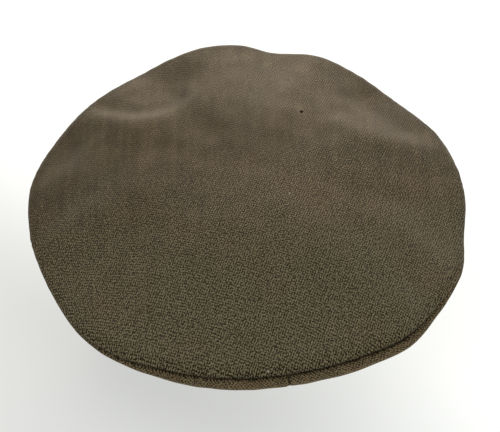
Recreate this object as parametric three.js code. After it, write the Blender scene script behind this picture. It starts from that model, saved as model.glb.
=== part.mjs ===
// A soft wool trench cap: a wide crown top sewn to four side quarters, a head band, a short
// cloth peak, and a leather chin strap on two side buttons. Millimetres, +Z up, the peak
// towards -Y and the wearer's left towards +X. It rests by itself on the peak's front edge and
// the back of the band.
import * as THREE from "three";
import { mergeVertices } from "three/addons/utils/BufferGeometryUtils.js";

// Driving dimensions.
const CLOTH = 1.8; // wall of the wool crown and quarters
const GAP = 0.3; // clearance between neighbouring pieces
const HEAD_HALF_WIDTH = 81; // inside the band, for a head of 57 cm
const HEAD_HALF_LENGTH = 99;
const BAND_THICK = 2.5;
const BAND_HEIGHT = 42;
const CROWN_BACK = 9; // how far the crown's middle lies behind the band's middle
const CREST = 101; // height of the crown's middle over the band's lower edge
const DOME_POWER = 2.1; // how late the crown falls away towards its edge
const ROLL = { start: 0.955, drop: 2.6 }; // the crown top turns down into the seam here
const TURN_IN = 2; // the quarters turn in over the band this far outside it
const SEAM_TILT = 30; // degrees that the seam's cut faces up

const PEAK = {
  halfTurn: 64, // degrees from the front to each end
  depth: 50,
  endDepth: 2,
  fullness: 0.85, // how round its front edge is: less is squarer
  thick: 3,
  lift: 0.5, // its underside at the band, over the band's lower edge
  restTurn: 24, // the front edge lies flat on the ground as far round as this
  levelTurn: 70, // and would be level with the band's edge here
  drop: 26, // fall of the underside from the band to the front edge
  dip: 1.2, // power of that fall, over 1 for a peak that steepens forwards
};
const STRAP = { halfTurn: 86, width: 13, thick: 2, height: 12, tipTurn: 4, tipShare: 0.45 };
const BUTTON = { turn: 80, radius: 7.5, rise: 4.2, rim: 1, sides: 20, rounds: 5 };

// The seam round the crown's edge. turn: degrees from the front towards the wearer's left.
// reach: distance from the crown's middle. height: over the band's lower edge.
const RIM = [
  { turn: -180, reach: 128, height: 60 },
  { turn: -160, reach: 131, height: 59.5 },
  { turn: -146, reach: 137, height: 60 },
  { turn: -132, reach: 138, height: 59.5 },
  { turn: -118, reach: 141.5, height: 60 },
  { turn: -106, reach: 139.5, height: 61 },
  { turn: -95, reach: 142.5, height: 64.5 },
  { turn: -77, reach: 142, height: 72.5 },
  { turn: -58, reach: 136.5, height: 76 },
  { turn: -45, reach: 134.5, height: 83 },
  { turn: -32, reach: 132, height: 90 },
  { turn: -18, reach: 127.5, height: 90 },
  { turn: -8, reach: 129.5, height: 94.5 },
  { turn: 4, reach: 131, height: 94.5 },
  { turn: 14, reach: 132.5, height: 89.5 },
  { turn: 25, reach: 134, height: 83.5 },
  { turn: 44, reach: 134, height: 85 },
  { turn: 58, reach: 140, height: 76 },
  { turn: 74, reach: 143.5, height: 72.5 },
  { turn: 90, reach: 141.5, height: 66 },
  { turn: 105, reach: 139, height: 61.5 },
  { turn: 126, reach: 139.5, height: 59.5 },
  { turn: 150, reach: 132, height: 60 },
];

// How the quarters hang from that seam. swell and fall: the widest place, outside and below
// the seam. sag: the lowest part of the overhang, over the band's lower edge. hang: where that
// lies between the band (0) and the seam (1).
const SIDE = [
  { turn: -180, swell: 2.6, fall: 8, sag: 37, hang: 0.6 },
  { turn: -150, swell: 2.8, fall: 7.5, sag: 37, hang: 0.6 },
  { turn: -118, swell: 0.8, fall: 5, sag: 37, hang: 0.66 },
  { turn: -95, swell: -0.8, fall: 5.5, sag: 37, hang: 0.7 },
  { turn: -50, swell: -0.8, fall: 16, sag: 47, hang: 0.5 },
  { turn: 0, swell: -1, fall: 24, sag: 54, hang: 0.4 },
  { turn: 50, swell: -0.8, fall: 18, sag: 48, hang: 0.5 },
  { turn: 95, swell: -1.2, fall: 5.5, sag: 37, hang: 0.7 },
  { turn: 120, swell: -0.2, fall: 5, sag: 37, hang: 0.66 },
  { turn: 155, swell: 2.2, fall: 8, sag: 37, hang: 0.6 },
];

// Folds pressed into the crown top. Each runs from one place by a second to a third, given as
// sideways (towards the wearer's left) and forwards of the crown's middle. lift is its height,
// below zero for a hollow, and spread its half width.
const FOLDS = [
  { name: "left crest", from: [104, 98], by: [70, 45], to: [25, 74], lift: 2, spread: 13 },
  { name: "left drop", from: [93, 102], by: [60, 58], to: [34, 82], lift: -3.5, spread: 6 },
  { name: "left hollow", from: [86, 104], by: [60, 72], to: [30, 102], lift: -6, spread: 12 },
  { name: "right crest", from: [-140, 32], by: [-95, 14], to: [-62, 44], lift: 1.2, spread: 12 },
  { name: "right drop", from: [-134, 40], by: [-104, 29], to: [-82, 46], lift: -2.5, spread: 6 },
  { name: "right hollow", from: [-132, 42], by: [-104, 46], to: [-98, 84], lift: -7, spread: 12 },
  { name: "front rise", from: [58, 76], by: [-5, 68], to: [-72, 28], lift: 3, spread: 25 },
  { name: "side crest", from: [140, 37], by: [124, 36], to: [110, 40], lift: 1.2, spread: 8 },
  { name: "side hollow", from: [130, 48], by: [118, 60], to: [106, 68], lift: -4, spread: 8 },
  { name: "side fall", from: [128, 14], by: [112, 16], to: [96, 22], lift: -2, spread: 12 },
  { name: "middle rise", from: [128, -9], by: [98, -4], to: [66, 2], lift: 1.2, spread: 14 },
  { name: "back left dip", from: [122, -28], by: [118, -44], to: [104, -60], lift: -2, spread: 14 },
  { name: "right dip", from: [-126, -16], by: [-122, -30], to: [-118, -44], lift: -2, spread: 12 },
  { name: "back right dip", from: [-112, -56], by: [-104, -68], to: [-92, -80], lift: -2, spread: 13 },
];
const FOLD_STEPS = 12; // places tried along a fold to find the nearest one
const FOLD_FADE = 14; // power by which the folds die out at the crown's edge

const CROWN_COLUMNS = 72;
const CROWN_ROWS = 15;
const ROW_CROWDING = 1.45; // power by which the crown's rows crowd towards its edge
const QUARTER_COLUMNS = CROWN_COLUMNS / 4;
const QUARTER_ROWS = 12;
const ROOT_SHARE = 10 / 12; // from here on a quarter lies flat on the band's top edge
const BAND_HALF_SIDES = 36;
const PEAK_COLUMNS = 32;
const PEAK_ROWS = 7;
const STRAP_STEPS = 48;

const radians = THREE.MathUtils.degToRad;

// The level direction at a turn from the front.
function outwards(turn) {
  return new THREE.Vector3(Math.sin(radians(turn)), -Math.cos(radians(turn)), 0);
}

// Cubic through a closed table of turns, for one of its columns.
function around(table, column, turn) {
  const count = table.length;
  const first = table[0].turn;
  const place = THREE.MathUtils.euclideanModulo(turn - first, 360) + first;
  const knot = (k) => {
    const row = table[((k % count) + count) % count];
    return { at: row.turn + 360 * Math.floor(k / count), value: row[column] };
  };
  const slope = (k) => {
    const [before, after] = [knot(k - 1), knot(k + 1)];
    return (after.value - before.value) / (after.at - before.at);
  };
  let k = 0;
  while (knot(k + 1).at <= place) k += 1;
  const [low, high] = [knot(k), knot(k + 1)];
  const span = high.at - low.at;
  const u = (place - low.at) / span;
  return (
    (2 * u ** 3 - 3 * u ** 2 + 1) * low.value +
    (u ** 3 - 2 * u ** 2 + u) * span * slope(k) +
    (3 * u ** 2 - 2 * u ** 3) * high.value +
    (u ** 3 - u ** 2) * span * slope(k + 1)
  );
}

// Radius of an ellipse at a turn from the front.
function ovalRadius(halfWidth, halfLength, turn) {
  const across = halfLength * Math.sin(radians(turn));
  const along = halfWidth * Math.cos(radians(turn));
  return (halfWidth * halfLength) / Math.hypot(across, along);
}

// Radius of the band's inner face, or of a face that lies further out.
function bandRadius(turn, further = 0) {
  return ovalRadius(HEAD_HALF_WIDTH + further, HEAD_HALF_LENGTH + further, turn);
}

// Height that the folds add at a place over the crown's middle.
function foldLift(sideways, forwards) {
  let lift = 0;
  for (const fold of FOLDS) {
    let nearest = Infinity;
    for (let i = 0; i <= FOLD_STEPS; i += 1) {
      const t = i / FOLD_STEPS;
      const [a, b, c] = [(1 - t) ** 2, 2 * t * (1 - t), t ** 2];
      const x = a * fold.from[0] + b * fold.by[0] + c * fold.to[0];
      const y = a * fold.from[1] + b * fold.by[1] + c * fold.to[1];
      nearest = Math.min(nearest, Math.hypot(x - sideways, y - forwards));
    }
    lift += fold.lift * Math.exp(-((nearest / fold.spread) ** 2) / 2);
  }
  return lift;
}

// Outer surface of the crown top: share runs from 0 in the middle to 1 at the seam.
function crownPoint(share, turn) {
  const reach = share * around(RIM, "reach", turn);
  const place = outwards(turn).multiplyScalar(reach);
  const rolled = Math.max(0, (share - ROLL.start) / (1 - ROLL.start)) ** 2;
  const edge = around(RIM, "height", turn) + ROLL.drop;
  const folds = foldLift(place.x, -place.y) * (1 - share ** FOLD_FADE);
  const height = CREST + (edge - CREST) * share ** DOME_POWER - ROLL.drop * rolled + folds;
  return new THREE.Vector3(place.x, place.y + CROWN_BACK, height);
}

// Open Catmull-Rom curve through points, with share from 0 to 1.
function along(points, share) {
  const last = points.length - 1;
  const k = Math.min(last - 1, Math.floor(share * last));
  const u = share * last - k;
  const at = (i) => points[THREE.MathUtils.clamp(i, 0, last)];
  const before = k > 0 ? at(k - 1) : at(0).clone().multiplyScalar(2).sub(at(1));
  const after = k + 2 <= last ? at(k + 2) : at(last).clone().multiplyScalar(2).sub(at(last - 1));
  const weights = [
    (-(u ** 3) + 2 * u ** 2 - u) / 2,
    (3 * u ** 3 - 5 * u ** 2 + 2) / 2,
    (-3 * u ** 3 + 4 * u ** 2 + u) / 2,
    (u ** 3 - u ** 2) / 2,
  ];
  const sum = new THREE.Vector3();
  [before, at(k), at(k + 1), after].forEach((p, i) => sum.addScaledVector(p, weights[i]));
  return sum;
}

// Outer surface of the quarters: share runs from 0 at the crown's seam to 1 on the band's top.
function sidePoint(share, turn) {
  const out = outwards(turn);
  const rim = crownPoint(1, turn);
  const side = (column) => around(SIDE, column, turn);
  const onBand = (further, height) =>
    out.clone().multiplyScalar(bandRadius(turn, further)).setZ(height);
  const widest = rim.clone().addScaledVector(out, side("swell"));
  widest.z -= side("fall");
  const lowest = onBand(BAND_THICK, 0).lerp(rim, side("hang")).setZ(side("sag"));
  const turnIn = onBand(BAND_THICK + TURN_IN, BAND_HEIGHT + GAP);
  const root = onBand(GAP, BAND_HEIGHT + GAP);
  if (share > ROOT_SHARE) return turnIn.lerp(root, (share - ROOT_SHARE) / (1 - ROOT_SHARE));
  return along([rim, widest, lowest, turnIn], share / ROOT_SHARE);
}

// Outward unit normal of a surface by small steps. Neither surface has one at a share of 0.
function normalAt(surface, share, turn) {
  const step = 1e-3;
  const near = Math.max(share, 2 * step);
  const down = surface(Math.min(1, near + step), turn).sub(surface(near - step, turn));
  const round = surface(near, turn + step).sub(surface(near, turn - step));
  return down.cross(round).normalize();
}

// The cut faces of the crown top and the quarters meet at one tilt along the seam.
function seamFrame(turn) {
  const out = outwards(turn);
  const facing = out.clone().multiplyScalar(Math.cos(radians(SEAM_TILT)));
  facing.z = Math.sin(radians(SEAM_TILT));
  const uphill = out.clone().multiplyScalar(-Math.sin(radians(SEAM_TILT)));
  uphill.z = Math.cos(radians(SEAM_TILT));
  return { facing, uphill };
}

// A closed body between two grids of points with the same rows and columns.
function sheetBody(outer, inner, wraps) {
  const corners = [];
  const face = (a, b, c) => {
    const flat = a.distanceTo(b) < 1e-6 || b.distanceTo(c) < 1e-6 || c.distanceTo(a) < 1e-6;
    if (!flat) corners.push(a, b, c);
  };
  const quad = (a, b, c, d) => {
    face(a, b, c);
    face(a, c, d);
  };
  const lastRow = outer.length - 1;
  const lastColumn = outer[0].length - 1;
  for (let i = 0; i < lastRow; i += 1) {
    for (let j = 0; j < lastColumn; j += 1) {
      quad(outer[i][j], outer[i + 1][j], outer[i + 1][j + 1], outer[i][j + 1]);
      quad(inner[i][j], inner[i][j + 1], inner[i + 1][j + 1], inner[i + 1][j]);
    }
  }
  for (let j = 0; j < lastColumn; j += 1) {
    quad(outer[0][j], outer[0][j + 1], inner[0][j + 1], inner[0][j]);
    quad(outer[lastRow][j], inner[lastRow][j], inner[lastRow][j + 1], outer[lastRow][j + 1]);
  }
  for (let i = 0; i < lastRow && !wraps; i += 1) {
    quad(outer[i][0], inner[i][0], inner[i + 1][0], outer[i + 1][0]);
    const [above, below] = [outer[i], outer[i + 1]];
    quad(above[lastColumn], below[lastColumn], inner[i + 1][lastColumn], inner[i][lastColumn]);
  }
  const geometry = new THREE.BufferGeometry().setFromPoints(corners);
  const merged = mergeVertices(geometry, 1e-4);
  merged.computeVertexNormals();
  return merged;
}

// Points of a grid, from a function of row and column.
function grid(rows, columns, pointAt) {
  return Array.from({ length: rows + 1 }, (_, i) =>
    Array.from({ length: columns + 1 }, (__, j) => pointAt(i, j)),
  );
}

function crownTop() {
  const turnOf = (j) => -180 + (360 * (j % CROWN_COLUMNS)) / CROWN_COLUMNS;
  const shareOf = (i) => 1 - (1 - i / CROWN_ROWS) ** ROW_CROWDING;
  const outer = grid(CROWN_ROWS, CROWN_COLUMNS, (i, j) => {
    const point = crownPoint(shareOf(i), turnOf(j));
    if (i === CROWN_ROWS) point.addScaledVector(seamFrame(turnOf(j)).uphill, GAP / 2);
    return point;
  });
  const inner = grid(CROWN_ROWS, CROWN_COLUMNS, (i, j) => {
    const turn = turnOf(j);
    let normal = normalAt(crownPoint, shareOf(i), turn);
    if (i === 0) normal = new THREE.Vector3(0, 0, 1);
    if (i === CROWN_ROWS) normal = seamFrame(turn).facing;
    return outer[i][j].clone().addScaledVector(normal, -CLOTH);
  });
  return sheetBody(outer, inner, true);
}

function quarter(fromTurn, toTurn) {
  const inset = THREE.MathUtils.radToDeg(GAP / 2 / HEAD_HALF_WIDTH);
  const turnOf = (j) => THREE.MathUtils.lerp(fromTurn, toTurn, j / QUARTER_COLUMNS);
  const cutTurnOf = (j) => THREE.MathUtils.clamp(turnOf(j), fromTurn + inset, toTurn - inset);
  const shareOf = (i) => i / QUARTER_ROWS;
  const outer = grid(QUARTER_ROWS, QUARTER_COLUMNS, (i, j) => {
    const point = sidePoint(shareOf(i), cutTurnOf(j));
    if (i === 0) point.addScaledVector(seamFrame(turnOf(j)).uphill, -GAP / 2);
    return point;
  });
  const inner = grid(QUARTER_ROWS, QUARTER_COLUMNS, (i, j) => {
    const turn = turnOf(j);
    let normal = normalAt(sidePoint, shareOf(i), turn);
    if (i === 0) normal = seamFrame(turn).facing;
    return outer[i][j].clone().addScaledVector(normal, -CLOTH);
  });
  return sheetBody(outer, inner, false);
}

function band() {
  const shape = new THREE.Shape();
  const halfWidth = HEAD_HALF_WIDTH + BAND_THICK;
  const halfLength = HEAD_HALF_LENGTH + BAND_THICK;
  shape.absellipse(0, 0, halfWidth, halfLength, 0, 2 * Math.PI);
  const hole = new THREE.Path();
  hole.absellipse(0, 0, HEAD_HALF_WIDTH, HEAD_HALF_LENGTH, 0, 2 * Math.PI, true);
  shape.holes.push(hole);
  return new THREE.ExtrudeGeometry(shape, {
    depth: BAND_HEIGHT,
    bevelEnabled: false,
    curveSegments: BAND_HALF_SIDES,
  });
}

// How far the peak stands out from the band at a turn.
function peakDepth(turn) {
  const share = Math.min(1, Math.abs(turn) / PEAK.halfTurn);
  return PEAK.endDepth + (PEAK.depth - PEAK.endDepth) * (1 - share ** 2) ** PEAK.fullness;
}

// Underside of the peak: share runs from 0 at the band to 1 at the front edge. The ground
// runs from the back of the band to the middle of that edge.
function peakPoint(share, turn) {
  const start = bandRadius(turn, BAND_THICK + GAP);
  const place = outwards(turn).multiplyScalar(start + share * peakDepth(turn));
  const backOfBand = HEAD_HALF_LENGTH + BAND_THICK;
  const edge = outwards(turn).multiplyScalar(start + peakDepth(turn));
  const frontReach = bandRadius(0, BAND_THICK + GAP) + PEAK.depth;
  const ground = ((PEAK.lift - PEAK.drop) * (backOfBand - edge.y)) / (backOfBand + frontReach);
  const raised = THREE.MathUtils.smoothstep(Math.abs(turn), PEAK.restTurn, PEAK.levelTurn);
  const fall = (PEAK.lift - ground) * (1 - raised);
  return place.setZ(PEAK.lift - fall * share ** PEAK.dip);
}

function peak() {
  const turnOf = (j) => THREE.MathUtils.lerp(-PEAK.halfTurn, PEAK.halfTurn, j / PEAK_COLUMNS);
  const under = grid(PEAK_ROWS, PEAK_COLUMNS, (i, j) => peakPoint(i / PEAK_ROWS, turnOf(j)));
  const above = under.map((row) => row.map((p) => p.clone().setZ(p.z + PEAK.thick)));
  return sheetBody(above, under, false);
}

function chinStrap() {
  const turnOf = (i) => THREE.MathUtils.lerp(-STRAP.halfTurn, STRAP.halfTurn, i / STRAP_STEPS);
  const halfWidth = (turn) => {
    const past = Math.max(0, Math.abs(turn) - (STRAP.halfTurn - STRAP.tipTurn));
    const narrowing = (1 - STRAP.tipShare ** 2) * (past / STRAP.tipTurn) ** 2;
    return (STRAP.width / 2) * Math.sqrt(1 - narrowing);
  };
  const face = (further) =>
    grid(1, STRAP_STEPS, (i, j) => {
      const turn = turnOf(j);
      const side = i === 0 ? 1 : -1;
      const point = outwards(turn).multiplyScalar(bandRadius(turn, BAND_THICK + further));
      return point.setZ(STRAP.height + side * halfWidth(turn));
    });
  return sheetBody(face(GAP + STRAP.thick), face(GAP), false);
}

function buttonDome() {
  const profile = [new THREE.Vector2(0, 0), new THREE.Vector2(BUTTON.radius, 0)];
  for (let i = 0; i < BUTTON.rounds; i += 1) {
    const lean = (i / BUTTON.rounds) * (Math.PI / 2);
    const height = BUTTON.rim + (BUTTON.rise - BUTTON.rim) * Math.sin(lean);
    profile.push(new THREE.Vector2(BUTTON.radius * Math.cos(lean), height));
  }
  profile.push(new THREE.Vector2(0, BUTTON.rise));
  return new THREE.LatheGeometry(profile, BUTTON.sides);
}

const wool = (colour) =>
  new THREE.MeshStandardMaterial({ color: colour, roughness: 0.95, metalness: 0 });
const leather = new THREE.MeshStandardMaterial({ color: 0x4a2c17, roughness: 0.55, metalness: 0 });
const brass = new THREE.MeshStandardMaterial({ color: 0x8f7440, roughness: 0.4, metalness: 1 });

function piece(name, geometry, material) {
  const mesh = new THREE.Mesh(geometry, material);
  mesh.name = name;
  return mesh;
}

function sideButton(name, turn) {
  const button = piece(name, buttonDome(), brass);
  const faceOut = bandRadius(turn, BAND_THICK + STRAP.thick + 2 * GAP);
  button.position.copy(outwards(turn).multiplyScalar(faceOut)).setZ(STRAP.height);
  const ahead = outwards(turn).multiplyScalar(bandRadius(turn));
  const normal = new THREE.Vector3(
    ahead.x / HEAD_HALF_WIDTH ** 2,
    ahead.y / HEAD_HALF_LENGTH ** 2,
    0,
  ).normalize();
  button.quaternion.setFromUnitVectors(new THREE.Vector3(0, 1, 0), normal);
  return button;
}

const cap = new THREE.Group();
cap.add(
  piece("crown_top", crownTop(), wool(0x5d5443)),
  piece("quarter_front_right", quarter(-90, 0), wool(0x564e3d)),
  piece("quarter_front_left", quarter(0, 90), wool(0x564e3d)),
  piece("quarter_back_left", quarter(90, 180), wool(0x564e3d)),
  piece("quarter_back_right", quarter(-180, -90), wool(0x564e3d)),
  piece("band", band(), wool(0x544c3b)),
  piece("peak", peak(), wool(0x544c3b)),
  piece("chin_strap", chinStrap(), leather),
  sideButton("button_left", BUTTON.turn),
  sideButton("button_right", -BUTTON.turn),
);

// At rest the peak's front edge and the back of the band stand on the ground.
const frontEdge = peakPoint(1, 0);
const restTilt = Math.atan2(-frontEdge.z, HEAD_HALF_LENGTH + BAND_THICK - frontEdge.y);
cap.rotation.x = -restTilt;

// The origin is the middle of the resting cap's box, on the ground.
const group = new THREE.Group();
group.add(cap);
group.updateMatrixWorld(true);
const box = new THREE.Box3().setFromObject(cap, true);
const middle = box.getCenter(new THREE.Vector3());
cap.position.set(-middle.x, -middle.y, -box.min.z);
group.updateMatrixWorld(true);

export default group;
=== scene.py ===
"""Looks of a soft wool trench cap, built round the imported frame.

Lengths are millimetres in the cap's own frame: the band's lower edge lies in z = 0, the peak
points to -y and the wearer's left is +x. place() turns them into the row frame in metres,
which the floor, the lamp, the camera's near and far limits and the bumps' depths are given in.
A turn is in degrees from the front towards the wearer's left. Folds, patches and specks lie
so far sideways and forwards of the crown's middle.
"""

import math
from collections import namedtuple

import bmesh
import bpy
import numpy as np
from mathutils import Matrix, Vector


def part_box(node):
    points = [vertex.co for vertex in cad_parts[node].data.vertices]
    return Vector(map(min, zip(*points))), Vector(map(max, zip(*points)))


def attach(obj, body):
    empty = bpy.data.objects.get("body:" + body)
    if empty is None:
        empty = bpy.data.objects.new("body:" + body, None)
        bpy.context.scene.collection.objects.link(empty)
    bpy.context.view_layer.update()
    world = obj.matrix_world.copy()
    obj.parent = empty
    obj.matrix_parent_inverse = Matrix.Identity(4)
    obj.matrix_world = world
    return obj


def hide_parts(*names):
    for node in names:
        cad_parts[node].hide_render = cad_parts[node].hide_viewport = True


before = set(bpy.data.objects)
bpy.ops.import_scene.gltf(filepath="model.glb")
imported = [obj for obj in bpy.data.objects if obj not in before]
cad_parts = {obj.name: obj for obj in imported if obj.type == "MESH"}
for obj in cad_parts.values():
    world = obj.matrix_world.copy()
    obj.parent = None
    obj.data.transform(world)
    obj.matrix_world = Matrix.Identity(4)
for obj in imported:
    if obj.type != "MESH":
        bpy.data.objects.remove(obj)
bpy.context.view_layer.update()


# ---- The cap's sizes, near those in the part's source -------------------------------------

CLOTH = 1.8
GAP = 0.3
HEAD_HALF_WIDTH = 81
HEAD_HALF_LENGTH = 99
BAND_THICK = 2.5
BAND_HEIGHT = 42
CROWN_BACK = 9
CREST = 101
DOME_POWER = 2.1
ROLL_START = 0.955
ROLL_DROP = 2.6
TURN_IN = 2
ROOT_SHARE = 10 / 12

# The crown's edge: its reach from the crown's middle, and its height.
Rim = namedtuple("Rim", "turn reach height")
RIM = [
    Rim(-180, 128, 58),
    Rim(-160, 131, 57.5),
    Rim(-146, 137, 58),
    Rim(-132, 138, 57),
    Rim(-118, 141.5, 57.5),
    Rim(-106, 139.5, 59.5),
    Rim(-95, 142.5, 64.5),
    Rim(-77, 142, 72.5),
    Rim(-58, 136.5, 76),
    Rim(-45, 134.5, 83),
    Rim(-32, 132, 90),
    Rim(-18, 127.5, 90),
    Rim(-8, 129.5, 94.5),
    Rim(4, 131, 94.5),
    Rim(14, 132.5, 89.5),
    Rim(25, 134, 83.5),
    Rim(44, 134, 85),
    Rim(58, 140, 76),
    Rim(74, 143.5, 72.5),
    Rim(90, 141.5, 66),
    Rim(105, 139, 60),
    Rim(126, 139.5, 57),
    Rim(150, 132, 58),
]

# The quarters: how far they swell past the edge and fall below it where they are widest, then
# the height that they sag to, and how far out from the band towards the edge they hang there.
Side = namedtuple("Side", "turn swell fall sag hang")
SIDE = [
    Side(-180, 3.2, 6, 37, 0.6),
    Side(-150, 3.2, 5.5, 37, 0.6),
    Side(-118, -1.6, 4, 37, 0.66),
    Side(-95, -2, 5.5, 37, 0.7),
    Side(-50, -0.8, 16, 47, 0.5),
    Side(0, -1, 24, 54, 0.4),
    Side(50, -0.8, 18, 48, 0.5),
    Side(95, -2.2, 5.5, 37, 0.7),
    Side(120, -2.2, 4, 37, 0.66),
    Side(155, 2.2, 6, 37, 0.6),
]

QUARTER_TURN = 90
QUARTER_STARTS = {
    "quarter_front_right": -90,
    "quarter_front_left": 0,
    "quarter_back_left": 90,
    "quarter_back_right": -180,
}

# Folds pressed into the crown: the places of the start, the bend and the end, then the height
# and the half width.
Fold = namedtuple("Fold", "start bend end lift spread")
FOLDS = {
    "left crest": Fold((104, 98), (70, 45), (25, 74), 2, 13),
    "left drop": Fold((93, 102), (60, 58), (34, 82), -2.8, 6),
    "left hollow": Fold((86, 104), (60, 72), (34, 98), -3, 12),
    "right crest": Fold((-140, 28), (-98, 8), (-66, 38), 1.5, 8),
    "right hollow": Fold((-136, 40), (-110, 28), (-96, 68), -3.2, 11),
    "front rise": Fold((58, 76), (-5, 68), (-72, 28), 3, 25),
    "side crest": Fold((140, 37), (128, 36), (118, 38), 1, 9),
    "side hollow": Fold((130, 46), (120, 55), (108, 64), -4, 10),
    "side fall": Fold((128, 14), (112, 16), (96, 22), -2, 12),
    "middle rise": Fold((128, -9), (98, -4), (66, 2), 1.2, 14),
    "back left dip": Fold((122, -28), (118, -44), (104, -60), -2, 14),
    "right dip": Fold((-126, -16), (-122, -30), (-118, -44), -2, 12),
    "back right dip": Fold((-112, -56), (-104, -68), (-92, -80), -2, 13),
}
FOLD_PLACES = 49
FOLD_FADE = 14

# The peak's front edge drops to the ground as far as one turn on each side, and rises towards
# the band's level by the other.
PEAK_HALF_TURN = 64
PEAK_DEPTH = 50
PEAK_END_DEPTH = 2
PEAK_FULLNESS = 0.85
PEAK_THICK = 3
PEAK_LIFT = 0.5
PEAK_REST_TURN = 24
PEAK_LEVEL_TURN = 70
PEAK_DROP = 26
PEAK_DIP = 1.2

STRAP_HALF_TURN = 86
STRAP_WIDTH = 13
STRAP_THICK = 2
STRAP_HEIGHT = 12
STRAP_TIP_TURN = 4
STRAP_TIP_SHARE = 0.45

BUTTON_TURNS = {"button_left": 80, "button_right": -80}
BUTTON_RADIUS = 7.5
BUTTON_RISE = 4.2
BUTTON_RIM = 1
BUTTON_RIM_WIDTH = 0.9
BUTTON_DOME_INSET = 1.1
BUTTON_RELIEF = 0.1


# ---- Seams, gathers, stitches and unevenness, in the looks alone --------------------------

# The crown's seam is a groove. It is shut so far on each side of a turn near the back, and
# opens over the next few degrees. The quarters stop just short of each other.
SEAM_GROOVE = 1.7
SEAM_WIDTH = 0.8
SEAM_SHUT_MIDDLE = 175
SEAM_SHUT_HALF = 44
SEAM_SHUT_FADE = 16
SEAM_OPEN = 0.2
CLEAR_OF_SEAM = 9.0
QUARTER_INSET = 0.01
QUARTER_SEAM_SHARE = 0.3

# Small puckers along the crown's seam, with a spacing and a strength that wander.
GATHER_PITCH = 11
GATHER_LIFT = 0.12
GATHER_REACH = 7
GATHER_WANDER = 1.6
GATHER_WANDER_LENGTHS = (30, 90)
GATHER_MEAN = 0.6
GATHER_SWING = 0.4
GATHER_SWING_LENGTHS = (50, 140)

# The cloth's own unevenness, which fades out at the crown's edge and above the band.
UNEVEN_LIFT = 0.12
UNEVEN_WAVES = 26
UNEVEN_LENGTHS = (14, 46)
UNEVEN_EDGE_FADE = 20
ROOT_CALM = 0.2
CROWN_SEED = 7
CROWN_GATHER_SEED = 11
QUARTER_SEED = 23
QUARTER_GATHER_SEED = 31
BAND_SEED = 41

BAND_SOFTNESS = 0.18
BAND_SOFT_LENGTHS = (16, 40)
BAND_EDGE_DROP = 0.5
BAND_EDGE_WIDTH = 0.7
STITCH_DEPTH = 0.28
STITCH_WIDTH = 0.5
STITCH_HEIGHT = 4
STITCH_PITCH = 3.2
STITCH_MEAN = 0.7
STITCH_SWING = 0.3

QUILT_DEPTH = 0.32
QUILT_PITCH = 6.5
QUILT_FULLNESS = 0.5
PEAK_EDGE_DROP = 1.2
PEAK_EDGE_WIDTH = 1.0

CREASE_DEPTH = 0.25
CREASE_PLACE = 0.78
CREASE_WIDTH = 0.05
BEVEL_DROP = 0.7
BEVEL_POWER = 10

# Grids of the pieces, and how much closer the crown's rows lie towards its edge.
CROWN_ROWS = 110
CROWN_COLUMNS = 384
CROWN_CROWDING = 1.45
QUARTER_ROWS = 64
QUARTER_COLUMNS = 110
BAND_ROWS = 59
BAND_COLUMNS = 288
PEAK_ROWS = 90
PEAK_COLUMNS = 240
STRAP_ROWS = 16
STRAP_COLUMNS = 240
BUTTON_RINGS = 14
BUTTON_STEPS = 48

# Where the pieces lie on the cloth: the radius that their turns are measured on, and how far
# down the cloth the band's lower edge and the peak's y = 0 lie.
QUARTER_RUN = 130
BAND_RUN = 92
BAND_LAID = 90
PEAK_LAID = 190


# ---- Colours and grain --------------------------------------------------------------------

WOOL_DARK = (0.007, 0.0055, 0.0025)
WOOL_MIDDLE = (0.0405, 0.0328, 0.0173)
WOOL_LIGHT = (0.176, 0.140, 0.079)
WOOL_TONES = [(0.08, WOOL_DARK), (0.5, WOOL_MIDDLE), (0.98, WOOL_LIGHT)]
HUE_OLIVE = (0.90, 0.96, 0.95)
HUE_BROWN = (1.0, 0.91, 0.86)
WOOL_HUES = [(0.1, HUE_OLIVE), (0.8, HUE_BROWN)]
WARMTH = 0.68
WARMTH_HEATHER = 1.6
WARMTH_CLEAR = -0.26
WOOL_SURFACE = {
    "Roughness": 0.55,
    "Specular Tint": (1.0, 0.80, 0.55, 1),
    "Sheen Weight": 0.15,
    "Sheen Roughness": 0.4,
    "Sheen Tint": (1.0, 0.83, 0.6, 1),
}

# Noises on the cloth have their scale per millimetre, the others per metre.
Noise = namedtuple("Noise", "scale detail rough")
WANDER_BROAD = Noise(0.10, 2, 0.5)
WANDER_FINE = Noise(0.75, 2, 0.5)
FUZZ = Noise(1.1, 3, 0.7)
FLECK = Noise(0.55, 2, 0.6)
BLOTCH = Noise(0.06, 3, 0.6)
STREAK = Noise(0.17, 2, 0.5)
HEATHER = Noise(0.022, 2, 0.5)
LEATHER_GRAIN = Noise(900, 4, 0.6)
LEATHER_WEAR = Noise(60, 3, 0.55)
TARNISH = Noise(180, 4, 0.6)

# The twill's pitches, how far its lines wander, and how much longer than wide a streak is.
RIB_PITCH = 1.4
FLOAT_PITCH = 1.6
WANDER_BROAD_PULL = 9.0
WANDER_FINE_PULL = 6.5
STREAK_LENGTH = 8

# How much each part of the weave lifts the surface, and how much it lightens the grain. The
# blotches don't change with the grain's clarity.
RELIEF_SHARES = {"rib": 0.45, "float": 0.35, "fuzz": 1.2}
GRAIN_SHARES = {"rib": 0.7, "float": 0.5, "fuzz": 5.0, "fleck": 0.8}
BLOTCH_SHARES = {"blotch": 0.40, "streak": 0.35}

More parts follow.
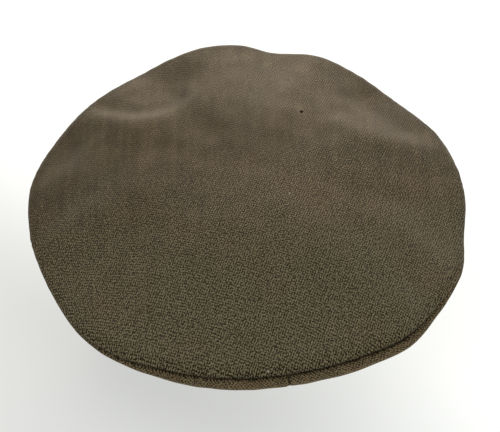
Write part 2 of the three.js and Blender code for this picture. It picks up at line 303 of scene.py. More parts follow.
# From the crown's front to its back, and down the sides, the grain grows clearer and the
# relief stronger. The seam's painted shade and the cloth's shine change with the distance to
# the seam.
Span = namedtuple("Span", "start end low high")
CLARITY = Span(-52, 125, 0.22, 3.2)
RELIEF = Span(-60, 60, 0.9, 1.0)
RELIEF_DEPTH = 0.0003
SHINE = Span(0, CLEAR_OF_SEAM, 0.05, 0.34)
# Painted shade along a seam's groove: the colour there is darkened to this share.
SEAM_SHADE = 0.35
SEAM_SHADE_START = 0.15
SEAM_SHADE_END = 0.85

# Lighter and darker stretches along the cloth.
Drift = namedtuple("Drift", "start end rise")
CROWN_DRIFTS = [Drift(-50, 0, -0.08), Drift(20, 70, 0.015)]
# On the quarters these are painted light: the tone just below the crown's seam is raised to stand
# for light bounced up from the floor, and falls back further down.
SIDE_PAINTED_LIGHT_DRIFTS = [Drift(-1, 2, 0.16), Drift(3, 7, 0.14), Drift(10, 24, -0.28)]

# Lighter and darker places on the crown, and how far each reaches.
Patch = namedtuple("Patch", "sideways forwards radius rise")
CROWN_PATCHES = [
    Patch(-112, 50, 34, -0.09),
    Patch(30, 0, 80, -0.05),
    Patch(60, 47, 40, 0.09),
    Patch(-109, -18, 60, 0.08),
]

# A moth nip, its pit only painted as a dark shade, and lint on the crown. Each fades out from
# this share of its radius to its edge.
SPECK_CORE = 0.6
Speck = namedtuple("Speck", "sideways forwards radius colour")
NIP_PAINTED_SHADE = (0.004, 0.0035, 0.002)
LINT = (0.30, 0.28, 0.24)
LINT_BROWN = (0.20, 0.17, 0.12)
LINT_DIM = (0.18, 0.15, 0.11)
CROWN_SPECKS = [
    # The moth nip: painted shade of a pit that the surface itself doesn't have.
    Speck(-44, 49, 1.5, NIP_PAINTED_SHADE),
    Speck(-22, -20, 0.7, LINT),
    Speck(12, -125, 0.6, LINT),
    Speck(-22, 93, 0.8, LINT_BROWN),
    Speck(-31, 87, 0.7, LINT_BROWN),
    Speck(-95, -7, 0.5, LINT),
    Speck(-116, -49, 0.5, LINT),
    Speck(-61, 25, 0.5, LINT_DIM),
]

# The headings of the ribs, of the floats across them and of the streaks, in degrees.
Cloth = namedtuple("Cloth", "name ribs floats streaks drifts patches specks")
CROWN_CLOTH = Cloth("crown wool", 58, 152, 79, CROWN_DRIFTS, CROWN_PATCHES, CROWN_SPECKS)
SIDE_CLOTH = Cloth("side wool", 40, 130, 90, SIDE_PAINTED_LIGHT_DRIFTS, [], [])

LEATHER_TONES = [(0.3, (0.05, 0.02, 0.009)), (0.7, (0.11, 0.05, 0.022))]
LEATHER_ROUGH = 0.35
LEATHER_ROUGH_WEAR = 0.25
LEATHER_RELIEF = 0.5
LEATHER_RELIEF_DEPTH = 0.0002
BRASS_TONES = [(0.35, (0.20, 0.13, 0.05)), (0.65, (0.48, 0.34, 0.14))]
BRASS_ROUGH = 0.22
BRASS_ROUGH_TARNISH = 0.35

# The floor glows though it is no lamp: painted light. It glows less, as painted shade, behind
# the cap and to the wearer's left, where the photograph's ground is darker.
FLOOR_REACH = 6.0
FLOOR_SURFACE = {
    "Base Color": (0.28, 0.28, 0.28, 1),
    "Emission Color": (0.98, 1.0, 0.97, 1),
    "Roughness": 0.9,
    "Specular IOR Level": 0.1,
}
FLOOR_SLANT = 1.2
FLOOR_PAINTED_GLOW = Span(-0.03, 0.2, 0.8, 0.52)

CAMERA_TURN = 169.4
CAMERA_RISE = 47.8
CAMERA_DISTANCE = 930
CAMERA_AIM = (0, CROWN_BACK, 78)
CAMERA_LOWER = 11.5
CAMERA_RIGHT = 0.45
CAMERA_LENS = 104.2
CAMERA_SENSOR = 36
CAMERA_NEAR = 0.05
CAMERA_FAR = 20
SKY_STRENGTH = 0.9

MM_PER_METRE = 1000
SAME_PLACE = 1e-7
NO_LENGTH = 1e-9


# ---- The cap's surfaces -------------------------------------------------------------------


def outwards(turn):
    angle = np.radians(turn)
    return np.stack([np.sin(angle), -np.cos(angle), np.zeros_like(angle)], -1)


def smooth(value, start, end):
    """Rises smoothly from 0 to 1 as a value goes from start to end."""
    share = np.clip((value - start) / (end - start), 0, 1)
    return share * share * (3 - 2 * share)


def around(table, column, turn):
    """Cubic through a closed table of turns, for one of its columns."""
    at = np.array([row.turn for row in table], float)
    value = np.array([getattr(row, column) for row in table], float)
    at = np.concatenate([at[-2:] - 360, at, at[:3] + 360])
    value = np.concatenate([value[-2:], value, value[:3]])
    slope = np.zeros_like(value)
    slope[1:-1] = (value[2:] - value[:-2]) / (at[2:] - at[:-2])
    within = (turn - at[2]) % 360 + at[2]
    k = np.searchsorted(at, within, side="right") - 1
    span = at[k + 1] - at[k]
    u = (within - at[k]) / span
    return (
        (2 * u**3 - 3 * u**2 + 1) * value[k]
        + (u**3 - 2 * u**2 + u) * span * slope[k]
        + (3 * u**2 - 2 * u**3) * value[k + 1]
        + (u**3 - u**2) * span * slope[k + 1]
    )


def oval_radius(turn, further=0.0):
    """Radius of the band's inner face, or of a face that lies further out."""
    half_width = HEAD_HALF_WIDTH + further
    half_length = HEAD_HALF_LENGTH + further
    angle = np.radians(turn)
    across = half_length * np.sin(angle)
    along = half_width * np.cos(angle)
    return half_width * half_length / np.hypot(across, along)


def on_oval(turn, further=0.0):
    """Places on the band's inner face, or on a face that lies further out, at height 0."""
    return outwards(turn) * oval_radius(turn, further)[..., None]


def at_height(places, height):
    moved = places.copy()
    moved[..., 2] = height
    return moved


def fold_lift(sideways, forwards):
    lift = np.zeros_like(sideways)
    for fold in FOLDS.values():
        nearest = np.full_like(sideways, np.inf)
        for t in np.linspace(0, 1, FOLD_PLACES):
            weights = ((1 - t) ** 2, 2 * t * (1 - t), t**2)
            points = (fold.start, fold.bend, fold.end)
            x = sum(w * p[0] for w, p in zip(weights, points))
            y = sum(w * p[1] for w, p in zip(weights, points))
            nearest = np.minimum(nearest, np.hypot(x - sideways, y - forwards))
        lift += fold.lift * np.exp(-((nearest / fold.spread) ** 2) / 2)
    return lift


def uneven(x, y, seed, lengths=UNEVEN_LENGTHS):
    """Gentle waves of mixed lengths and directions, about 1 high."""
    rng = np.random.default_rng(seed)
    total = np.zeros_like(x)
    for _ in range(UNEVEN_WAVES):
        wave = 2 * math.pi / rng.uniform(*lengths)
        heading, phase = rng.uniform(0, 2 * math.pi, 2)
        total += np.sin(wave * (x * math.cos(heading) + y * math.sin(heading)) + phase)
    return total / math.sqrt(UNEVEN_WAVES / 2)


def crown_point(share, turn):
    """Outer surface of the crown: 0 at its middle, 1 at its edge."""
    reach = share * around(RIM, "reach", turn)
    flat = outwards(turn) * reach[..., None]
    rolled = np.clip((share - ROLL_START) / (1 - ROLL_START), 0, 1) ** 2
    edge = around(RIM, "height", turn) + ROLL_DROP
    folds = fold_lift(flat[..., 0], -flat[..., 1]) * (1 - share**FOLD_FADE)
    height = CREST + (edge - CREST) * share**DOME_POWER - ROLL_DROP * rolled + folds
    return np.stack([flat[..., 0], flat[..., 1] + CROWN_BACK, height], -1)


def through(points, share):
    """Open Catmull-Rom curve through points, each an array of places."""
    last = len(points) - 1
    before = 2 * points[0] - points[1]
    after = 2 * points[-1] - points[-2]
    line = np.stack([before, *points, after])
    k = np.minimum(last - 1, np.floor(share * last)).astype(int)
    u = (share * last - k)[..., None]
    rows, columns = np.indices(k.shape)
    weights = (
        (-(u**3) + 2 * u**2 - u) / 2,
        (3 * u**3 - 5 * u**2 + 2) / 2,
        (-3 * u**3 + 4 * u**2 + u) / 2,
        (u**3 - u**2) / 2,
    )
    return sum(w * line[k + i, rows, columns] for i, w in enumerate(weights))


def side_point(share, turn):
    """Outer surface of the quarters: 0 at the crown's seam, 1 on the band's top."""
    rim = crown_point(np.ones_like(turn), turn)
    widest = rim + outwards(turn) * around(SIDE, "swell", turn)[..., None]
    widest = at_height(widest, rim[..., 2] - around(SIDE, "fall", turn))
    hang = around(SIDE, "hang", turn)[..., None]
    lowest = on_oval(turn, BAND_THICK) * (1 - hang) + rim * hang
    lowest = at_height(lowest, around(SIDE, "sag", turn))
    turn_in = at_height(on_oval(turn, BAND_THICK + TURN_IN), BAND_HEIGHT + GAP)
    root = at_height(on_oval(turn, GAP), BAND_HEIGHT + GAP)
    curve = through([rim, widest, lowest, turn_in], np.minimum(share / ROOT_SHARE, 1))
    inwards = np.clip((share - ROOT_SHARE) / (1 - ROOT_SHARE), 0, 1)[..., None]
    ledge = turn_in * (1 - inwards) + root * inwards
    return np.where(share[..., None] > ROOT_SHARE, ledge, curve)


def peak_depth(turn):
    share = np.minimum(1, np.abs(turn) / PEAK_HALF_TURN)
    return PEAK_END_DEPTH + (PEAK_DEPTH - PEAK_END_DEPTH) * (1 - share**2) ** PEAK_FULLNESS


def peak_point(share, turn):
    """Underside of the peak: 0 at the band, 1 at the front edge."""
    start = oval_radius(turn, BAND_THICK + GAP)
    points = outwards(turn) * (start + share * peak_depth(turn))[..., None]
    back = HEAD_HALF_LENGTH + BAND_THICK
    edge_y = -np.cos(np.radians(turn)) * (start + peak_depth(turn))
    front_reach = HEAD_HALF_LENGTH + BAND_THICK + GAP + PEAK_DEPTH
    ground = (PEAK_LIFT - PEAK_DROP) * (back - edge_y) / (back + front_reach)
    raised = smooth(np.abs(turn), PEAK_REST_TURN, PEAK_LEVEL_TURN)
    fall = (PEAK_LIFT - ground) * (1 - raised)
    points[..., 2] = PEAK_LIFT - fall * share**PEAK_DIP
    return points


# ---- From the cap's frame to the row frame ------------------------------------------------


def rest_tilt():
    """How far the cap leans back as it rests on the peak's edge and the back of the band."""
    edge = peak_point(np.ones(1), np.zeros(1))[0]
    return math.atan2(-edge[2], HEAD_HALF_LENGTH + BAND_THICK - edge[1])


def band_middle(tilt):
    """Where the middle of the band's lower edge lies in the row frame, in mm."""
    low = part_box("band")[0] * MM_PER_METRE
    half_length = HEAD_HALF_LENGTH + BAND_THICK
    to_middle = (
        HEAD_HALF_WIDTH + BAND_THICK,
        half_length * math.cos(tilt),
        half_length * math.sin(tilt),
    )
    return low + Vector(to_middle)


REST_TILT = rest_tilt()
TURNED = Matrix.Rotation(-REST_TILT, 3, "X")
SHIFT = band_middle(REST_TILT)


def place(points):
    turned = np.asarray(points, float) @ np.array(TURNED).T
    return (turned + np.array(SHIFT)) / MM_PER_METRE


# ---- Making meshes ------------------------------------------------------------------------


def grid(rows, columns):
    return np.meshgrid(rows, columns, indexing="ij")


def grid_normals(points, wraps):
    """Unit normals of a grid, facing out where rows run down and columns run round."""
    down = np.gradient(points, axis=0)
    if wraps:
        ring = points[:, :-1]
        sideways = (np.roll(ring, -1, 1) - np.roll(ring, 1, 1)) / 2
        sideways = np.concatenate([sideways, sideways[:, :1]], 1)
    else:
        sideways = np.gradient(points, axis=1)
    normals = np.cross(down, sideways)
    length = np.linalg.norm(normals, axis=-1, keepdims=True)
    return normals / np.maximum(length, NO_LENGTH)


def quads(index):
    """Faces between the rows and columns of a grid of point numbers."""
    corners = (index[:-1, :-1], index[1:, :-1], index[1:, 1:], index[:-1, 1:])
    return np.stack(corners, -1).reshape(-1, 4)


def wall_faces(shape, wraps):
    """Faces of a closed wall between two grids of points, the outer one first."""
    outer = np.arange(shape[0] * shape[1]).reshape(shape)
    inner = outer + outer.size
    faces = [quads(outer), quads(inner)[:, ::-1]]
    faces.append(quads(np.stack([inner[0], outer[0]])))
    faces.append(quads(np.stack([outer[-1], inner[-1]])))
    if not wraps:
        faces.append(quads(np.stack([inner[:, 0], outer[:, 0]], 1)))
        faces.append(quads(np.stack([outer[:, -1], inner[:, -1]], 1)))
    return np.concatenate(faces)


def lay_cloth(mesh, layer_name, values):
    """Gives both sides of a wall the same coordinates on the cloth."""
    corner = np.zeros(len(mesh.loops), int)
    mesh.loops.foreach_get("vertex_index", corner)
    flat = np.concatenate([values.reshape(-1, 2)] * 2)
    layer = mesh.uv_layers.new(name=layer_name)
    layer.data.foreach_set("uv", flat[corner].astype(np.float32).ravel())


def weld(mesh, turn_out=False):
    """Joins points that coincide and smooths the faces."""
    shaped = bmesh.new()
    shaped.from_mesh(mesh)
    bmesh.ops.remove_doubles(shaped, verts=shaped.verts, dist=SAME_PLACE)
    if turn_out:
        bmesh.ops.recalc_face_normals(shaped, faces=shaped.faces)
    for face in shaped.faces:
        face.smooth = True
    shaped.to_mesh(mesh)
    shaped.free()


def link(name, data):
    made = bpy.data.objects.new(name, data)
    bpy.context.scene.collection.objects.link(made)
    return made


Look = namedtuple("Look", "material slot")


def finish_piece(name, node, look, mesh):
    mesh.materials.append(look.material)
    piece = link(name, mesh)
    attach(piece, "root")
    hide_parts(node)


def wall_piece(name, node, look, outer, inner, weave, wraps=False, seam=CLEAR_OF_SEAM, shut=1.0):
    """A closed wall between two grids.

    weave holds the cloth's own coordinates in mm, seam the distance to the nearest seam, and
    shut how deep that seam lies: 1 where the cloth turns down over it, 0 where it is drawn open.
    """
    shape = outer.shape[:2]
    points = place(np.concatenate([outer.reshape(-1, 3), inner.reshape(-1, 3)]))
    mesh = bpy.data.meshes.new(name)
    mesh.from_pydata(points.tolist(), [], wall_faces(shape, wraps).tolist())
    lay_cloth(mesh, "weave", weave)
    lay_cloth(mesh, "seam", np.stack([np.broadcast_to(v, shape) for v in (seam, shut)], -1))
    weld(mesh)
    finish_piece(name, node, look, mesh)


# ---- Materials ----------------------------------------------------------------------------


class Shader:
    """A material under construction: short calls that add and join nodes."""

    def __init__(self, name):
        self.material = bpy.data.materials.new(name)
        self.material.use_nodes = True
        self.tree = self.material.node_tree
        self.surface = self.tree.nodes["Principled BSDF"]

    def add(self, kind, settings=None, **inputs):
        """A node with its settings, and inputs by name or, as i0 and i1, by number."""
        node = self.tree.nodes.new("ShaderNode" + kind)
        for key, value in (settings or {}).items():
            setattr(node, key, value)
        for key, value in inputs.items():
            numbered = key[1:].isdigit()
            self.join(value, node.inputs[int(key[1:]) if numbered else key])
        return node

    def join(self, value, socket):
        if isinstance(value, bpy.types.Node):
            value = value.outputs[0]
        if isinstance(value, bpy.types.NodeSocket):
            self.tree.links.new(value, socket)
        else:
            socket.default_value = value

    def paint(self, inputs):
        """Gives the surface values, or what nodes put out, by the names of its inputs."""
        for name, value in inputs.items():
            self.join(value, self.surface.inputs[name])

    def bump(self, height, strength, depth):
        node = self.add("Bump", Strength=strength, Distance=depth, Height=height)
        self.paint({"Normal": node.outputs["Normal"]})

    def math(self, operation, a, b):
        return self.add("Math", {"operation": operation}, i0=a, i1=b)

    def coordinate(self, vector, axis):
        return self.add("SeparateXYZ", Vector=vector).outputs[axis]

    def distance(self, where, spot):
        """How far a place on the crown's cloth lies from the middle of a patch or speck."""
        middle = (spot.sideways, -spot.forwards, 0)
        node = self.add("VectorMath", {"operation": "DISTANCE"}, i0=where, i1=middle)
        return node.outputs["Value"]

    def noise(self, where, kind):
        node = self.add(
            "TexNoise", Vector=where, Scale=kind.scale, Detail=kind.detail, Roughness=kind.rough
        )
        return node.outputs["Fac"]

    def stripes(self, where, heading, pitch, wander):
        """A sine wave, 0 to 1, whose lines run along heading degrees."""
        across = math.radians(heading + 90)
        pull = 2 * math.pi / pitch
        vector = (pull * math.cos(across), pull * math.sin(across), 0)
        node = self.add("VectorMath", {"operation": "DOT_PRODUCT"}, i0=where, i1=vector)
        phase = self.math("ADD", node.outputs["Value"], wander)
        wave = self.add("Math", {"operation": "SINE"}, i0=phase)
        return self.blend(0.5, (wave, 0.5), about=0.0)

    def blend(self, middle, *shares, about=0.5, start=None):
        """middle, or start, plus each value's distance from about times its share."""
        total = start
        for value, share in shares:
            node = self.add("Math", {"operation": "MULTIPLY_ADD"}, i0=value, i1=share)
            rest = -about * share + (middle if total is None else 0.0)
            if total is None:
                node.inputs[2].default_value = rest
            else:
                self.join(self.math("ADD", total, rest), node.inputs[2])
            total = node
        return total

    def step(self, value, start, end, low=0.0, high=1.0):
        """Rises smoothly from low to high between two values."""
        node = self.add("MapRange", {"interpolation_type": "SMOOTHSTEP"}, Value=value)
        names = ("From Min", "From Max", "To Min", "To Max")
        for name, given in zip(names, (start, end, low, high)):
            self.join(given, node.inputs[name])
        return node.outputs["Result"]

    def tint(self, colour, share, other):
        return self.add("MixRGB", Fac=share, Color1=colour, Color2=(*other, 1))

    def ramp(self, value, stops):
        node = self.add("ValToRGB", Fac=value)
        elements = node.color_ramp.elements
        while len(elements) < len(stops):
            elements.new(0.5)
        for element, (position, colour) in zip(elements, stops):
            element.position = position
            element.color = (*colour, 1)
        return node.outputs["Color"]


def twill(shader, where, cloth):
    """The parts of the weave by name, each 0 to 1."""
    broad = shader.noise(where, WANDER_BROAD)
    fine = shader.noise(where, WANDER_FINE)
    wander = shader.blend(0.0, (broad, WANDER_BROAD_PULL), (fine, WANDER_FINE_PULL))
    drawn_out = shader.add(
        "Mapping",
        {"vector_type": "TEXTURE"},
        Vector=where,
        Rotation=(0, 0, math.radians(cloth.streaks)),
        Scale=(STREAK_LENGTH, 1, 1),
    )
    return {
        "rib": shader.stripes(where, cloth.ribs, RIB_PITCH, wander),
        "float": shader.stripes(where, cloth.floats, FLOAT_PITCH, wander),
        "fuzz": shader.noise(where, FUZZ),
        "fleck": shader.noise(where, FLECK),
        "blotch": shader.noise(where, BLOTCH),
        "streak": shader.noise(drawn_out, STREAK),
    }


def pick(parts, shares):
    return [(parts[name], share) for name, share in shares.items()]


def wool_tone(shader, where, down, clear, parts, cloth):
    """The wool's lightness: its grain, its blotches, lighter and darker places, and stretches that
    are painted light on the quarters.
    """
    grain = shader.blend(0.0, *pick(parts, GRAIN_SHARES))
    tone = shader.math("ADD", shader.math("MULTIPLY", grain, clear), 0.5)
    tone = shader.blend(0.0, *pick(parts, BLOTCH_SHARES), start=tone)
    # On the quarters the drifts are painted light, a lighter band below the crown's seam.
    for drift in cloth.drifts:
        there = shader.step(down, drift.start, drift.end)
        tone = shader.blend(0.0, (there, drift.rise), about=0.0, start=tone)
    for patch in cloth.patches:
        there = shader.step(shader.distance(where, patch), patch.radius, 0)
        tone = shader.blend(0.0, (there, patch.rise), about=0.0, start=tone)
    return tone


def wool_colour(shader, where, clear, tone):
    """The colour of a tone, heathered between olive and brown."""
    heather = shader.noise(where, HEATHER)
    warmth = shader.blend(WARMTH, (heather, WARMTH_HEATHER), (clear, WARMTH_CLEAR))
    plain = shader.ramp(tone, WOOL_TONES)
    hue = shader.ramp(warmth, WOOL_HUES)
    return shader.add("VectorMath", {"operation": "MULTIPLY"}, i0=plain, i1=hue)


def with_specks(shader, where, colour, shine, specks):
    """Colours the specks and takes the shine off them."""
    covered = 0.0
    for speck in specks:
        away = shader.distance(where, speck)
        there = shader.step(away, speck.radius, speck.radius * SPECK_CORE)
        colour = shader.tint(colour, there, speck.colour)
        covered = shader.math("MAXIMUM", there, covered)
    if specks:
        shine = shader.math("MULTIPLY", shine, shader.math("SUBTRACT", 1.0, covered))
    return colour, shine


def seam_shaded(shader, colour, away, shut):
    """Darkens the colour next to a seam with painted shade, by how far the seam is shut."""
    shade = shader.blend(1.0, (shut, SEAM_SHADE - 1), about=0.0)
    lit = shader.step(away, SEAM_SHADE_START, SEAM_SHADE_END, shade, 1.0)
    return shader.add("VectorMath", {"operation": "SCALE"}, i0=colour, Scale=lit)


def wool(cloth):
    """Rough milled twill: steep ribs crossed by short floats, heathered, with painted shade at a
    seam.
    """
    shader = Shader(cloth.name)
    where = shader.add("UVMap", {"uv_map": "weave"})
    down = shader.coordinate(where, "Y")
    seam = shader.add("UVMap", {"uv_map": "seam"})
    away = shader.coordinate(seam, "X")
    shut = shader.coordinate(seam, "Y")
    parts = twill(shader, where, cloth)
    clear = shader.step(down, *CLARITY)
    tone = wool_tone(shader, where, down, clear, parts, cloth)
    colour = wool_colour(shader, where, clear, tone)
    shine = shader.step(away, *SHINE)
    colour, shine = with_specks(shader, where, colour, shine, cloth.specks)
    colour = seam_shaded(shader, colour, away, shut)
    shader.paint(WOOL_SURFACE)
    shader.paint({"Base Color": colour, "Specular IOR Level": shine})
    height = shader.blend(0.5, *pick(parts, RELIEF_SHARES))
    shader.bump(height, shader.step(down, *RELIEF), RELIEF_DEPTH)
    return shader.material


def leather():
    shader = Shader("brown leather")
    where = shader.add("TexCoord").outputs["Object"]
    worn = shader.noise(where, LEATHER_WEAR)
    colour = shader.ramp(worn, LEATHER_TONES)
    rough = shader.blend(LEATHER_ROUGH, (worn, LEATHER_ROUGH_WEAR), about=0.0)
    shader.paint({"Base Color": colour, "Roughness": rough})
    shader.bump(shader.noise(where, LEATHER_GRAIN), LEATHER_RELIEF, LEATHER_RELIEF_DEPTH)
    return shader.material


def brass():
    shader = Shader("aged brass")
    where = shader.add("TexCoord").outputs["Object"]
    tarnish = shader.noise(where, TARNISH)
    colour = shader.ramp(tarnish, BRASS_TONES)
    rough = shader.blend(BRASS_ROUGH, (tarnish, BRASS_ROUGH_TARNISH), about=0.0)
    shader.paint({"Base Color": colour, "Metallic": 1.0, "Roughness": rough})
    return shader.material


def floor_paint():
    shader = Shader("pale glowing floor")
    where = shader.add("TexCoord").outputs["Object"]
    across = shader.math("MULTIPLY", shader.coordinate(where, "X"), FLOOR_SLANT)
    nearer = shader.math("ADD", shader.coordinate(where, "Y"), across)
    shader.paint(FLOOR_SURFACE)
    # Painted light: the floor's emission, weaker behind the cap and to the wearer's left.
    shader.paint({"Emission Strength": shader.step(nearer, *FLOOR_PAINTED_GLOW)})
    return shader.material


CROWN_LOOK = Look(wool(CROWN_CLOTH), "wool")
SIDE_LOOK = Look(wool(SIDE_CLOTH), "wool")
LEATHER_LOOK = Look(leather(), "leather")
BRASS_LOOK = Look(brass(), "brass")


# ---- The cap's pieces ---------------------------------------------------------------------


def seam_dip(distance):
    return SEAM_GROOVE * np.exp(-((distance / SEAM_WIDTH) ** 2))


def seam_shut(turn):
    """1 along the crown's back edge, and less round the sides and the front."""
    away = 180 - np.abs((turn - SEAM_SHUT_MIDDLE) % 360 - 180)
    opened = smooth(away, SEAM_SHUT_HALF, SEAM_SHUT_HALF + SEAM_SHUT_FADE)
    return 1 - (1 - SEAM_OPEN) * opened


def gathers(turn, distance, seed):
    """Small puckers that run out from a seam."""
    run = np.radians(turn) * around(RIM, "reach", turn)
    level = np.zeros_like(run)
    wander = uneven(run, level, seed, GATHER_WANDER_LENGTHS) * GATHER_WANDER
    swing = uneven(run, level, seed + 1, GATHER_SWING_LENGTHS)
    strength = GATHER_MEAN + GATHER_SWING * swing
    wave = np.sin(2 * math.pi * run / GATHER_PITCH + wander)
    return GATHER_LIFT * strength * wave * np.exp(-distance / GATHER_REACH)


def crown_top():
    inwards = 1 - np.linspace(0, 1, CROWN_ROWS + 1)
    share, turn = grid(1 - inwards**CROWN_CROWDING, np.linspace(-180, 180, CROWN_COLUMNS + 1))
    points = crown_point(share, turn)
    normals = grid_normals(points, wraps=True)
    normals[0] = (0, 0, 1)
    x, y = points[..., 0], points[..., 1] - CROWN_BACK
    to_seam = (1 - share) * around(RIM, "reach", turn)
    shut = seam_shut(turn)
    lift = UNEVEN_LIFT * uneven(x, y, CROWN_SEED) * (1 - share**UNEVEN_EDGE_FADE)
    lift += gathers(turn, to_seam, CROWN_GATHER_SEED) - seam_dip(to_seam) * shut
    outer = points + normals * lift[..., None]
    outer[:, -1] = outer[:, 0]
    inner = outer - normals * CLOTH
    weave = np.stack([x, y], -1)
    wall_piece("wool_crown", "crown_top", CROWN_LOOK, outer, inner, weave, True, to_seam, shut)


def quarter(name, start):
    """One side quarter, from the crown's seam down and in to the band's top."""
    end = start + QUARTER_TURN
    inset = math.degrees(QUARTER_INSET / HEAD_HALF_WIDTH)
    share, turn = grid(
        np.linspace(0, 1, QUARTER_ROWS + 1),
        np.linspace(start + inset, end - inset, QUARTER_COLUMNS + 1),
    )
    points = side_point(share, turn)
    normals = grid_normals(points, wraps=False)
    step = np.linalg.norm(np.diff(points, axis=0), axis=-1)
    down = np.concatenate([np.zeros((1, turn.shape[1])), np.cumsum(step, 0)])
    run = np.radians(turn) * QUARTER_RUN
    ends = np.minimum(turn - start, end - turn)
    from_end = np.radians(ends) * np.linalg.norm(points[..., :2], axis=-1)
    free = np.clip((ROOT_SHARE - share) / ROOT_CALM, 0, 1)
    shut = seam_shut(turn)
    lift = UNEVEN_LIFT * uneven(run, down, QUARTER_SEED) + gathers(turn, down, QUARTER_GATHER_SEED)
    lift -= seam_dip(down) * shut + QUARTER_SEAM_SHARE * seam_dip(from_end)
    outer = points + normals * (lift * free)[..., None]
    inner = outer - normals * CLOTH
    weave = np.stack([run, down], -1)
    to_seam = np.minimum(down, from_end)
    wall_piece("wool_" + name, name, SIDE_LOOK, outer, inner, weave, seam=to_seam, shut=shut)


def band():
    """The doubled band, with rounded edges and a row of stitches near the lower one."""
    share, turn = grid(np.linspace(0, 1, BAND_ROWS + 1), np.linspace(-180, 180, BAND_COLUMNS + 1))
    height = BAND_HEIGHT * (1 - share)
    run = np.radians(turn) * BAND_RUN
    from_edge = np.minimum(height, BAND_HEIGHT - height)
    edges = BAND_EDGE_DROP * np.exp(-from_edge / BAND_EDGE_WIDTH)
    stitches = STITCH_DEPTH * np.exp(-(((height - STITCH_HEIGHT) / STITCH_WIDTH) ** 2))
    tension = STITCH_MEAN + STITCH_SWING * np.sin(run * 2 * math.pi / STITCH_PITCH)
    lift = BAND_SOFTNESS * uneven(run, height, BAND_SEED, BAND_SOFT_LENGTHS) - BAND_SOFTNESS
    lift -= (edges + stitches) * tension
    lift[:, -1] = lift[:, 0]
    lift = np.minimum(lift, GAP / 2)
    outer = on_oval(turn, BAND_THICK) + outwards(turn) * lift[..., None]
    outer = at_height(outer, height)
    inner = at_height(on_oval(turn), height)
    weave = np.stack([run, BAND_LAID - height], -1)
    wall_piece("wool_band", "band", SIDE_LOOK, outer, inner, weave, wraps=True)


def peak():
    """Two layers of cloth, run together by rows of stitching that follow the front edge."""
    share, turn = grid(
        np.linspace(0, 1, PEAK_ROWS + 1),
        np.linspace(-PEAK_HALF_TURN, PEAK_HALF_TURN, PEAK_COLUMNS + 1),
    )
    under = peak_point(share, turn)
    from_edge = (1 - share) * peak_depth(turn)
    between_rows = np.abs(np.cos(math.pi * from_edge / QUILT_PITCH)) ** QUILT_FULLNESS
    quilt = QUILT_DEPTH * between_rows - QUILT_DEPTH
    edge = PEAK_EDGE_DROP * np.exp(-from_edge / PEAK_EDGE_WIDTH)
    above = at_height(under, under[..., 2] + PEAK_THICK + (quilt - edge))
    weave = np.stack([under[..., 0], under[..., 1] + PEAK_LAID], -1)
    wall_piece("wool_peak", "peak", SIDE_LOOK, above, under, weave)


def chin_strap():
    """A plain strap with bevelled edges, a pressed line along each and rounded ends."""
    side, turn = grid(
        np.linspace(1, -1, STRAP_ROWS + 1),
        np.linspace(-STRAP_HALF_TURN, STRAP_HALF_TURN, STRAP_COLUMNS + 1),
    )
    past = np.maximum(0, np.abs(turn) - (STRAP_HALF_TURN - STRAP_TIP_TURN))
    narrowing = (1 - STRAP_TIP_SHARE**2) * (past / STRAP_TIP_TURN) ** 2
    half_width = STRAP_WIDTH / 2 * np.sqrt(1 - narrowing)
    height = STRAP_HEIGHT + side * half_width
    crease = CREASE_DEPTH * np.exp(-(((np.abs(side) - CREASE_PLACE) / CREASE_WIDTH) ** 2))
    bevel = BEVEL_DROP * np.abs(side) ** BEVEL_POWER
    reach = oval_radius(turn, BAND_THICK + GAP + STRAP_THICK) - crease - bevel
    outer = at_height(outwards(turn) * reach[..., None], height)
    inner = at_height(on_oval(turn, BAND_THICK + GAP), height)
    weave = np.stack([turn, side], -1)
    wall_piece("leather_strap", "chin_strap", LEATHER_LOOK, outer, inner, weave)


def button_profile():
    """Radius and rise from the middle of the back, round the rim, to the top of the dome."""
    lean = np.linspace(0, math.pi / 2, BUTTON_RINGS + 1)
    dome_radius = (BUTTON_RADIUS - BUTTON_DOME_INSET) * np.cos(lean)
    foot = BUTTON_RIM - BUTTON_RELIEF
    dome_rise = foot + (BUTTON_RISE - foot) * np.sin(lean)
    rim_radius = [0, BUTTON_RADIUS, BUTTON_RADIUS, BUTTON_RADIUS - BUTTON_RIM_WIDTH]
    rim_rise = [0, 0, BUTTON_RIM, BUTTON_RIM + BUTTON_RELIEF]
    return np.append(rim_radius, dome_radius), np.append(rim_rise, dome_rise)


def button(name, turn):
    """A domed brass button with a raised rim, on the end of the strap."""
    turn = np.array(float(turn))
    centre = at_height(on_oval(turn, BAND_THICK + STRAP_THICK + 2 * GAP), STRAP_HEIGHT)
    ahead = on_oval(turn)
    normal = Vector((ahead[0] / HEAD_HALF_WIDTH**2, ahead[1] / HEAD_HALF_LENGTH**2, 0))
    normal.normalize()
    up = Vector((0, 0, 1))
    side = up.cross(normal)
    radius, rise = button_profile()
    angle = np.linspace(0, 2 * math.pi, BUTTON_STEPS + 1)
    sideways = np.outer(radius, np.cos(angle))[..., None] * np.array(side)
    upwards = np.outer(radius, np.sin(angle))[..., None] * np.array(up)
    points = centre + rise[:, None, None] * np.array(normal) + sideways + upwards
    index = np.arange(points.size // 3).reshape(points.shape[:2])
    mesh = bpy.data.meshes.new(name)
    mesh.from_pydata(place(points.reshape(-1, 3)).tolist(), [], quads(index.T).tolist())
    weld(mesh, turn_out=True)
    finish_piece("brass_" + name, name, BRASS_LOOK, mesh)


crown_top()
for quarter_name, quarter_start in QUARTER_STARTS.items():
    quarter(quarter_name, quarter_start)
band()
peak()
chin_strap()
for button_name, button_turn in BUTTON_TURNS.items():
    button(button_name, button_turn)


# ---- Floor, light and camera --------------------------------------------------------------


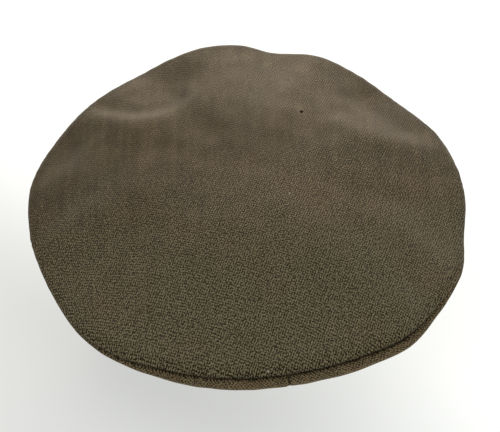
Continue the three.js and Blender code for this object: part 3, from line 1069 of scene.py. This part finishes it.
def floor():
    far = FLOOR_REACH
    corners = [(-far, -far, 0), (far, -far, 0), (far, far, 0), (-far, far, 0)]
    mesh = bpy.data.meshes.new("floor")
    mesh.from_pydata(corners, [], [(0, 1, 2, 3)])
    mesh.materials.append(floor_paint())
    link("floor", mesh)


def lamp(name, position, target, size, power, colour):
    """A round soft lamp; its position and target are in the row frame in metres."""
    light = bpy.data.lights.new(name, "AREA")
    light.shape = "DISK"
    light.size = size
    light.energy = power
    light.color = colour
    made = link(name, light)
    made.location = position
    made.rotation_mode = "QUATERNION"
    away = Vector(position) - Vector(target)
    made.rotation_quaternion = away.to_track_quat("Z", "Y")


def camera():
    """Behind the cap and above it, a little to the wearer's left."""
    turn, rise = math.radians(CAMERA_TURN), math.radians(CAMERA_RISE)
    level = math.cos(rise)
    back = Vector((math.sin(turn) * level, -math.cos(turn) * level, math.sin(rise)))
    right = Vector((0, 0, 1)).cross(back).normalized()
    up = back.cross(right)
    aim = Vector(CAMERA_AIM) - up * CAMERA_LOWER + right * CAMERA_RIGHT
    data = bpy.data.cameras.new("camera")
    data.sensor_fit = "HORIZONTAL"
    data.sensor_width = CAMERA_SENSOR
    data.lens = CAMERA_LENS
    data.clip_start = CAMERA_NEAR
    data.clip_end = CAMERA_FAR
    made = link("camera", data)
    made.location = Vector(place([aim + back * CAMERA_DISTANCE])[0])
    made.rotation_mode = "QUATERNION"
    made.rotation_quaternion = (TURNED @ Matrix((right, up, back)).transposed()).to_quaternion()
    bpy.context.scene.camera = made


def sky():
    world = bpy.data.worlds.new("studio")
    world.use_nodes = True
    background = world.node_tree.nodes["Background"]
    background.inputs["Color"].default_value = (1, 1, 1, 1)
    background.inputs["Strength"].default_value = SKY_STRENGTH
    bpy.context.scene.world = world


floor()
lamp(
    "window",
    position=(-0.37, -1.4, 0.62),
    target=(0, 0, 0.08),
    size=0.5,
    power=12,
    colour=(1.0, 0.85, 0.68),
)
camera()
sky()
bpy.context.scene.view_settings.view_transform = "Standard"
